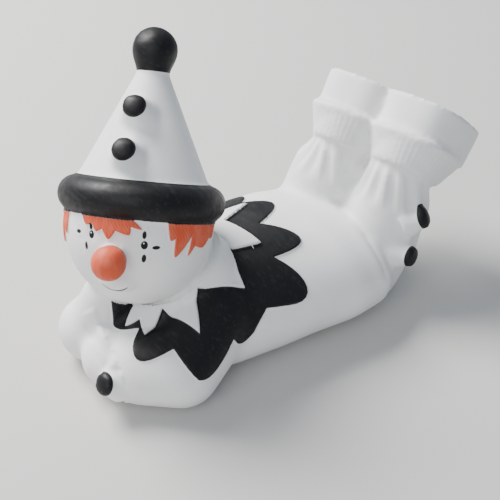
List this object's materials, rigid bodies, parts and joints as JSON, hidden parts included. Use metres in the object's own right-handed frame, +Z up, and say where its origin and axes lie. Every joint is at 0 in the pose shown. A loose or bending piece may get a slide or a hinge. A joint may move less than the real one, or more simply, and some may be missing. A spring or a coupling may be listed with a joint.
{
  "type": "clown figurine",
  "caption": "Porcelain clown lying on its front with its cheek on its arm and its lower legs raised, in a pointed hat, a scalloped cape and a pointed ruff.",
  "frame": {"origin": "middle of the bounding box, on the surface that the figurine lies on", "axes": "+Z up; the body lies along Y, with the head at -Y and the raised feet at +Y; the clown's left side is at +X"},
  "size_m": [0.0782, 0.1664, 0.111],
  "materials": {
    "bisque": "unglazed white bisque porcelain, matte and smooth; hat brim, hat ball, pom-pom faces, cape, eye marks and mouth painted matte black, hair and nose painted orange-red"
  },
  "bodies": {
    "root": {"clown_figurine": "bisque"}
  },
  "joints": []
}
